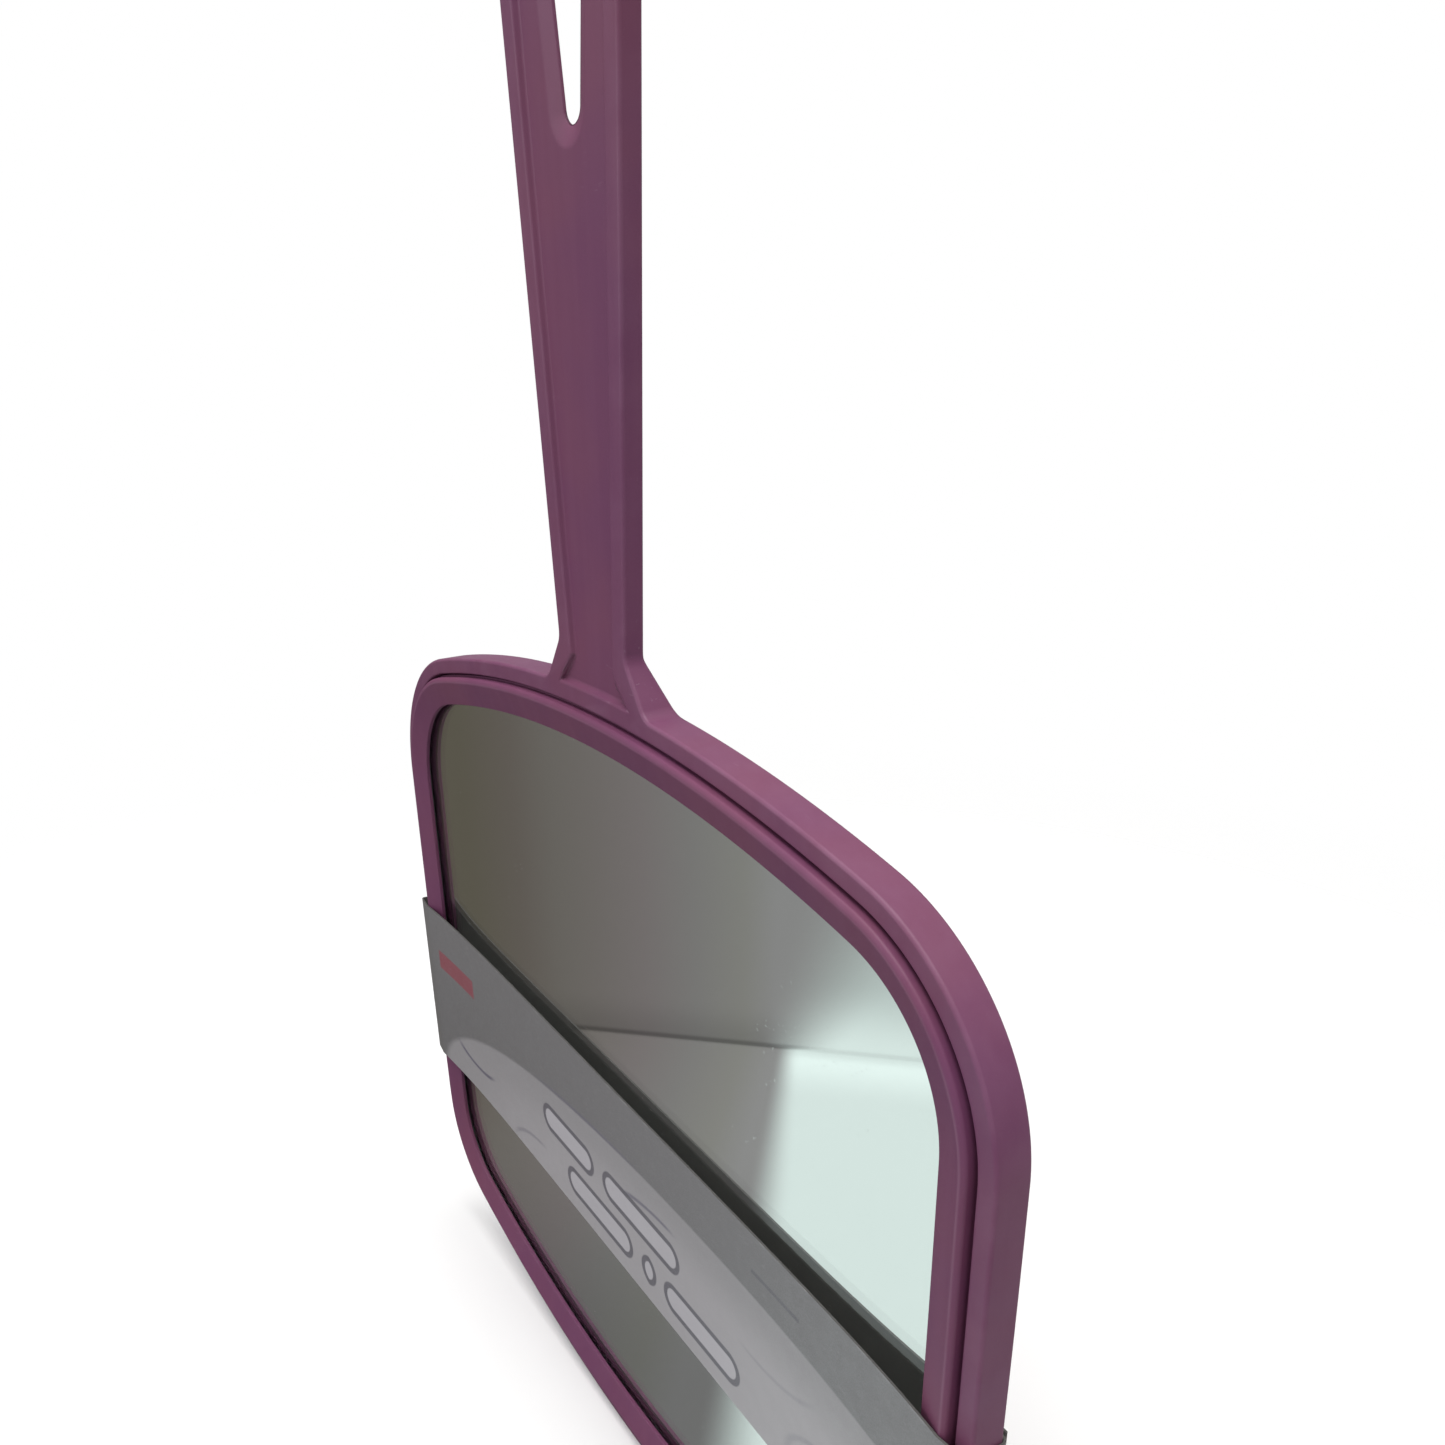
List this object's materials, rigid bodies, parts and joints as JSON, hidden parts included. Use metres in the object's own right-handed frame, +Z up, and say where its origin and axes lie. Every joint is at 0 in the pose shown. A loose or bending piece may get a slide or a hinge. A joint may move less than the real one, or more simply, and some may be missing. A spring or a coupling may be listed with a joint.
{
  "type": "hand mirror",
  "caption": "Hand mirror with a rounded rectangular head, a flat tapered handle with a hanging slot, and a card sleeve round the head.",
  "frame": {"origin": "centre of the bottom of the whole object's box, so the head's lowest point is at z = 0 and the head's middle is on x = 0", "axes": "+Z up the handle, +X to the right seen from the mirror's front, -Y the way the glass faces"},
  "size_m": [0.1614, 0.0088, 0.2686],
  "materials": {
    "plum_plastic": "satin moulded plastic with a fine grain",
    "silvered_glass": "polished, silvered on the back",
    "foam_tape": "matt white foam",
    "printed_card": "smooth printed card, satin",
    "glue": "dried glue"
  },
  "bodies": {
    "mirror": {"handle_frame": "plum_plastic", "bezel_ring": "plum_plastic", "mirror_glass": "silvered_glass", "foam_pad_upper_left": "foam_tape", "foam_pad_upper_right": "foam_tape", "foam_pad_lower_left": "foam_tape", "foam_pad_lower_right": "foam_tape"},
    "sleeve": {"retail_sleeve": "printed_card", "sleeve_glue_strip": "glue"}
  },
  "joints": [
    {"name": "sleeve_slides_off", "type": "slide", "parent": "mirror", "child": "sleeve", "axis": [0, 0, 1], "range_m": [0, 0.235]}
  ]
}
